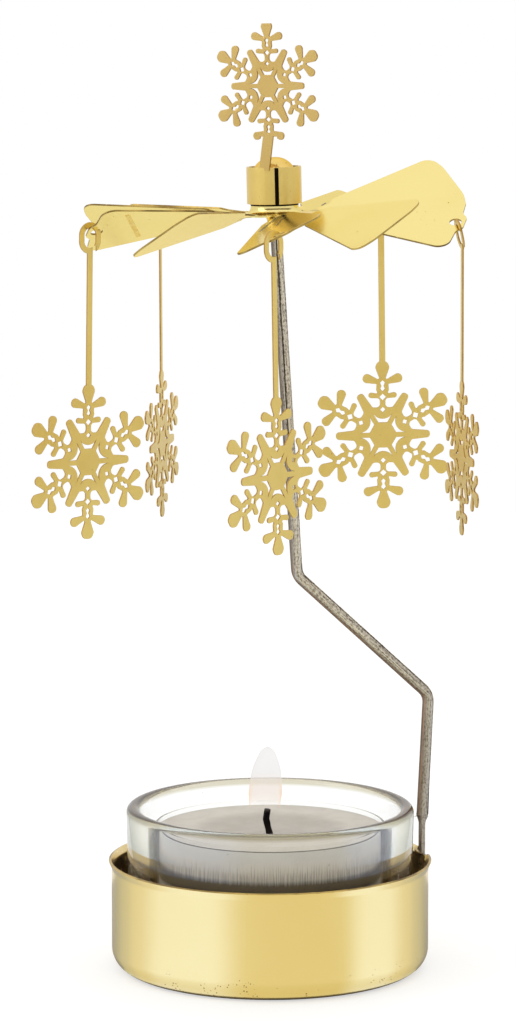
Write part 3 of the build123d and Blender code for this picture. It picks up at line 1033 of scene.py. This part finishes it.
# Wheel
wheelLook = {
    "edgeWidth": 0.07,
    "top": (0.614, 0.142, 136.5),
    "axis": (-0.022687, 0.012214, 0.999668),
    "hubReach": 4.3,
    "bandLow": -7.45,
    "bandHigh": -1.15,
    "edgeReach": 8.0,
    "sheetWidth": 0.4,
    "edgeSlope": 0.6,
    "foldReflectionNear": 16.0,
    "foldReflectionDepth": 6.0,
    # painted reflections of folds that the shape lacks, dark ones mostly on the front blade and a
    # deeper gold one on the left
    # blade: a point on each, its direction, its reach along that, its width and the index of its
    # material
    "foldReflections": (
        ((-22.5, -8.5, 126.3), (0.17, 0.95, -0.45), 5.1, 0.8, 4),
        ((9.1, 15.9, 128.1), (0.25, 0.85, 0.1), 1.4, 0.2, 5),
        ((9.4, -9.6, 128.6), (0.35, 0.9, 0.4), 0.9, 0.2, 5),
        ((-0.35, -13.9, 126.9), (0.345, 0.914, 0.22), 3.9, 0.8, 5),
        ((1.7, -16.0, 127.6), (0.19, 0.97, 0.15), 3.9, 0.5, 5),
    ),
}
shape = mergedCopy("rotor_wheel")
hubTop = Vector(wheelLook["top"]) * mm
wheelAxis = Vector(wheelLook["axis"])


def hubPlace(point):
    # height along the wheel's axis from the needle's tip, and reach from the axis
    offset = point - hubTop
    rise = offset.dot(wheelAxis)
    return rise / mm, (offset - wheelAxis * rise).length / mm


def cutAcross(shape, faces, place, normal, snapReach=0.0001):
    parts = set(faces)
    for face in faces:
        parts.update(face.edges)
        parts.update(face.verts)
    bmesh.ops.bisect_plane(
        shape, geom=list(parts), dist=snapReach * mm, plane_co=place, plane_no=normal
    )


# Painted shade: the thimble is dark where the collar covers it, which shows in the collar's open
# seam, and in a thin ring just below the collar
for height in (wheelLook["bandLow"], wheelLook["bandHigh"]):
    hubFaces = []
    for face in shape.faces:
        if hubPlace(face.calc_center_median())[1] < wheelLook["hubReach"]:
            hubFaces.append(face)
    cutAcross(shape, hubFaces, hubTop + wheelAxis * height * mm, wheelAxis)
# Each painted fold reflection is cut out of the faces near it and given its material
for place, direction, reach, width, look in wheelLook["foldReflections"]:
    place = Vector(place) * mm
    along = Vector(direction).normalized()
    across = along.cross(wheelAxis).normalized()
    for normal, half in ((across, width / 2), (along, reach)):
        for sign in (-1, 1):
            near = []
            for face in shape.faces:
                if (face.calc_center_median() - place).length < wheelLook["foldReflectionNear"] * mm:
                    near.append(face)
            cutAcross(shape, near, place + normal * sign * half * mm, normal)
    for face in shape.faces:
        offset = (face.calc_center_median() - place) / mm
        inLine = abs(offset.dot(across)) < width / 2 and abs(offset.dot(along)) < reach
        if inLine and abs(offset.dot(wheelAxis)) < wheelLook["foldReflectionDepth"]:
            face.material_index = look
for face in shape.faces:
    if face.material_index:
        continue
    rise, reach = hubPlace(face.calc_center_median())
    narrow = 2 * face.calc_area() / face.calc_perimeter() < wheelLook["sheetWidth"] * mm
    upright = abs(face.normal.dot(wheelAxis)) < wheelLook["edgeSlope"]
    if reach < wheelLook["hubReach"] and wheelLook["bandLow"] < rise < wheelLook["bandHigh"]:
        face.material_index = 2
    elif reach < wheelLook["hubReach"] and rise >= wheelLook["bandHigh"]:
        face.material_index = 3
    elif reach > wheelLook["edgeReach"] and narrow and upright:
        face.material_index = 1
softenEdges(shape, wheelLook["edgeWidth"])
finishPiece(
    "bladeWheel",
    shape,
    [bladeBrass, edgeBrass, seamShade, domeBrass, goldFoldReflection, darkFoldReflection],
    "wheel",
    "rotor_wheel",
)

# Topper and hangers: stamped sheet with a darker cut edge, which is tarnish and painted shade of
# the sheet's sides
flakeLook = {"edgeWidth": 0.05, "edgeSlope": 0.5, "collarTop": -1.0}


def stampedPiece(name, node, body, plate=flakeGold, bandTop=None):
    shape = mergedCopy(node)
    # the largest face is the plate, and the topper's collar lies below the band's top
    faces = sorted(shape.faces, key=lambda f: f.calc_area())
    plateNormal = faces[-1].normal.copy()
    for face in shape.faces:
        onEdge = abs(face.normal.dot(plateNormal)) < flakeLook["edgeSlope"]
        inBand = bandTop and hubPlace(face.calc_center_median())[0] < bandTop
        face.material_index = 2 if inBand else 1 if onEdge else 0
    softenEdges(shape, flakeLook["edgeWidth"])
    finishPiece(name, shape, [plate, cutEdgeGold, flakeGold], body, node)


stampedPiece("snowflakeTopper", "topper", "wheel", shadedTopperGold, flakeLook["collarTop"])
for side in ("front", "right", "back_right", "back_left", "left"):
    stampedPiece("snowflake_" + side, "hanger_" + side, "hanger_" + side)
print("wheel, topper and hangers built")

# Floor, light and camera
stageLook = {
    "floorReach": 550.0,
    "floorColor": (0.41, 0.41, 0.41, 1),
    "floorLift": 0.60,
    "horizonColor": (0.90, 0.90, 0.90, 1),
    "gapColor": (0.13, 0.10, 0.06, 1),
    "gapLow": (0.24, 0.32),
    "gapHigh": (0.56, 0.64),
    "gapAhead": (-0.2, 0.0),
    "skyColor": (1.08, 1.08, 1.08, 1),
    "skyRise": (0.25, 0.75),
}
shape = bmesh.new()
bmesh.ops.create_circle(shape, cap_ends=True, segments=96, radius=stageLook["floorReach"] * mm)
floorMaterial, floorShader = newMaterial(
    "paleFloor",
    {
        "Base Color": stageLook["floorColor"],
        "Roughness": 0.9,
        "Specular IOR Level": 0.1,
        "Emission Color": (1, 1, 1, 1),
    },
)
# The floor is lifted to white only where it is looked at, so the brass mirrors a plain floor
tree = floorMaterial.node_tree
lift = product(tree, seenStraight(tree), stageLook["floorLift"])
tree.links.new(lift, floorShader.inputs["Emission Strength"])
floor = newObject("floor", shape, [floorMaterial])

# A reflector fan on the floor gives the cup's wall its two pale bands. Each of its rays is where
# the wall at that azimuth mirrors the floor. Its near part is warmer, for the cup's rounded foot.
# The card at the back lights the undersides of the left blades.
floorCards = {
    "foot": 25.2,
    "wall": 26.8,
    "near": 9.0,
    "far": 320.0,
    "rayStep": 2,
    "fanLift": 0.2,
    "middleGlow": (0.91, 0.89, 0.67, 1),
    "bandGlow": (1.12, 1.27, 1.54, 1),
    "sideGlow": (0.92, 0.93, 0.83, 1),
    "dimGlow": (0.70, 0.72, 0.65, 1),
    "farGlow": (0.48, 0.50, 0.44, 1),
    "nearGlow": (0.72, 0.66, 0.30, 1),
    "nearShare": 0.4,
    "stops": (
        (-76, "farGlow"),
        (-66, "dimGlow"),
        (-57, "sideGlow"),
        (-42, "bandGlow"),
        (-23, "bandGlow"),
        (-7, "middleGlow"),
        (25, "middleGlow"),
        (36, "bandGlow"),
        (46, "bandGlow"),
        (58, "sideGlow"),
        (66, "dimGlow"),
        (76, "farGlow"),
    ),
    "backCorners": ((-75, 60), (85, 60), (85, 310), (-75, 310)),
    "backLift": 0.35,
    "backGlow": 0.95,
}


def floorCard(name, shape):
    # Only mirrors see a card. Its emission is set by the caller.
    cardMaterial, cardShader = newMaterial(name, {**glowOnly, "Emission Color": (1, 1, 1, 1)})
    bmesh.ops.recalc_face_normals(shape, faces=shape.faces[:])
    card = newObject(name, shape, [cardMaterial])
    for kind in ("camera", "diffuse", "transmission", "shadow"):
        setattr(card, "visible_" + kind, False)
    return cardMaterial.node_tree, cardShader


shape = bmesh.new()
spread = floorCards["stops"][-1][0]
fanLayer = shape.loops.layers.uv.new("fanTurn")
rays = []
for azimuth in range(-spread, spread + 1, floorCards["rayStep"]):
    turn = math.radians(azimuth)
    ahead = Vector((math.sin(turn), -math.cos(turn), 0))
    mirrored = Vector((math.sin(2 * turn), -math.cos(2 * turn), 0))
    points = [ahead * floorCards["foot"]]
    for reach in (0, floorCards["near"], floorCards["far"]):
        points.append(ahead * floorCards["wall"] + mirrored * reach)
    lift = Vector((0, 0, floorCards["fanLift"]))
    rays.append((azimuth, [shape.verts.new((point + lift) * mm) for point in points]))
for (first, before), (second, after) in zip(rays, rays[1:]):
    for index in range(3):
        face = shape.faces.new((before[index], before[index + 1], after[index + 1], after[index]))
        rises = (max(index - 1, 0), min(index, 1), min(index, 1), max(index - 1, 0))
        for loop, azimuth, rise in zip(face.loops, (first, first, second, second), rises):
            loop[fanLayer].uv = ((azimuth + spread) / (2 * spread), rise)
tree, fanShader = floorCard("reflectorFan", shape)
split = splitVector(tree, addNode(tree, "ShaderNodeUVMap", uv_map="fanTurn").outputs["UV"])
ramp = addNode(tree, "ShaderNodeValToRGB")
ramp.color_ramp.interpolation = "EASE"
elements = ramp.color_ramp.elements
elements.remove(elements[1])
for index, (azimuth, glow) in enumerate(floorCards["stops"]):
    position = (azimuth + spread) / (2 * spread)
    element = elements.new(position) if index else elements[0]
    element.position = position
    element.color = floorCards[glow]
tree.links.new(split["X"], ramp.inputs[0])
farShare = product(tree, split["Y"], floorCards["nearShare"])
nearShare = mathNode(tree, "SUBTRACT", floorCards["nearShare"], farShare)
glow = mixColors(tree, nearShare, ramp.outputs[0], floorCards["nearGlow"])
tree.links.new(glow, fanShader.inputs["Emission Color"])
fanShader.inputs["Emission Strength"].default_value = 1.0
shape = bmesh.new()
corners = [Vector((x, y, floorCards["backLift"])) * mm for x, y in floorCards["backCorners"]]
shape.faces.new([shape.verts.new(corner) for corner in corners])
backShader = floorCard("backCard", shape)[1]
backShader.inputs["Emission Strength"].default_value = floorCards["backGlow"]

world = bpy.data.worlds.new("softStudio")
world.use_nodes = True
scene.world = world
tree = world.node_tree
background = tree.nodes["Background"]
direction = splitVector(tree, addNode(tree, "ShaderNodeTexCoord").outputs["Generated"])
rise = rangeNode(tree, direction["Z"], *stageLook["skyRise"])
sky = mixColors(tree, rise, stageLook["horizonColor"], stageLook["skyColor"])
# At the front, polished metal also mirrors the dark gap between two large softboxes
gap = product(
    tree,
    rangeNode(tree, direction["Z"], *stageLook["gapLow"]),
    rangeNode(tree, direction["Z"], *stageLook["gapHigh"], 1.0, 0.0),
)
gap = product(tree, gap, rangeNode(tree, direction["Y"], *stageLook["gapAhead"], 1.0, 0.0))
gap = product(tree, gap, addNode(tree, "ShaderNodeLightPath").outputs["Is Glossy Ray"])
sky = mixColors(tree, gap, sky, stageLook["gapColor"])
sky = mixColors(tree, seenStraight(tree), sky, (1, 1, 1, 1))
tree.links.new(sky, background.inputs["Color"])

# Azimuth from the front, distance, height, width, length and watts, with the places in metres
softBoxes = {
    "leftBox": (-70, 0.8, 0.55, 0.5, 0.7, 1.6),
    "topBox": (140, 0.45, 0.8, 0.6, 0.6, 0.9),
}
target = Vector((0, 0, 0.08))
for name, (azimuth, distance, height, width, length, watts) in softBoxes.items():
    light = bpy.data.lights.new(name, "AREA")
    light.shape = "RECTANGLE"
    light.size = width
    light.size_y = length
    light.energy = watts
    lamp = bpy.data.objects.new(name, light)
    turn = math.radians(azimuth)
    lamp.location = (distance * math.sin(turn), -distance * math.cos(turn), height)
    lamp.rotation_euler = (target - lamp.location).to_track_quat("-Z", "Y").to_euler()
    lamp.visible_camera = False
    lamp.visible_glossy = name != "topBox"
    scene.collection.objects.link(lamp)

# Focal length and place fitted to the photograph
cameraLook = {
    "place": (-0.00204, -0.7241, 0.1805),
    "tilt": 81.92,
    "lens": 153.69,
    "sensor": 36,
}
cameraData = bpy.data.cameras.new("camera")
cameraData.lens = cameraLook["lens"]
cameraData.sensor_width = cameraLook["sensor"]
camera = bpy.data.objects.new("camera", cameraData)
camera.location = cameraLook["place"]
camera.rotation_euler = (math.radians(cameraLook["tilt"]), 0, 0)
scene.collection.objects.link(camera)
scene.camera = camera
scene.view_settings.view_transform = "Standard"
print("stage built")
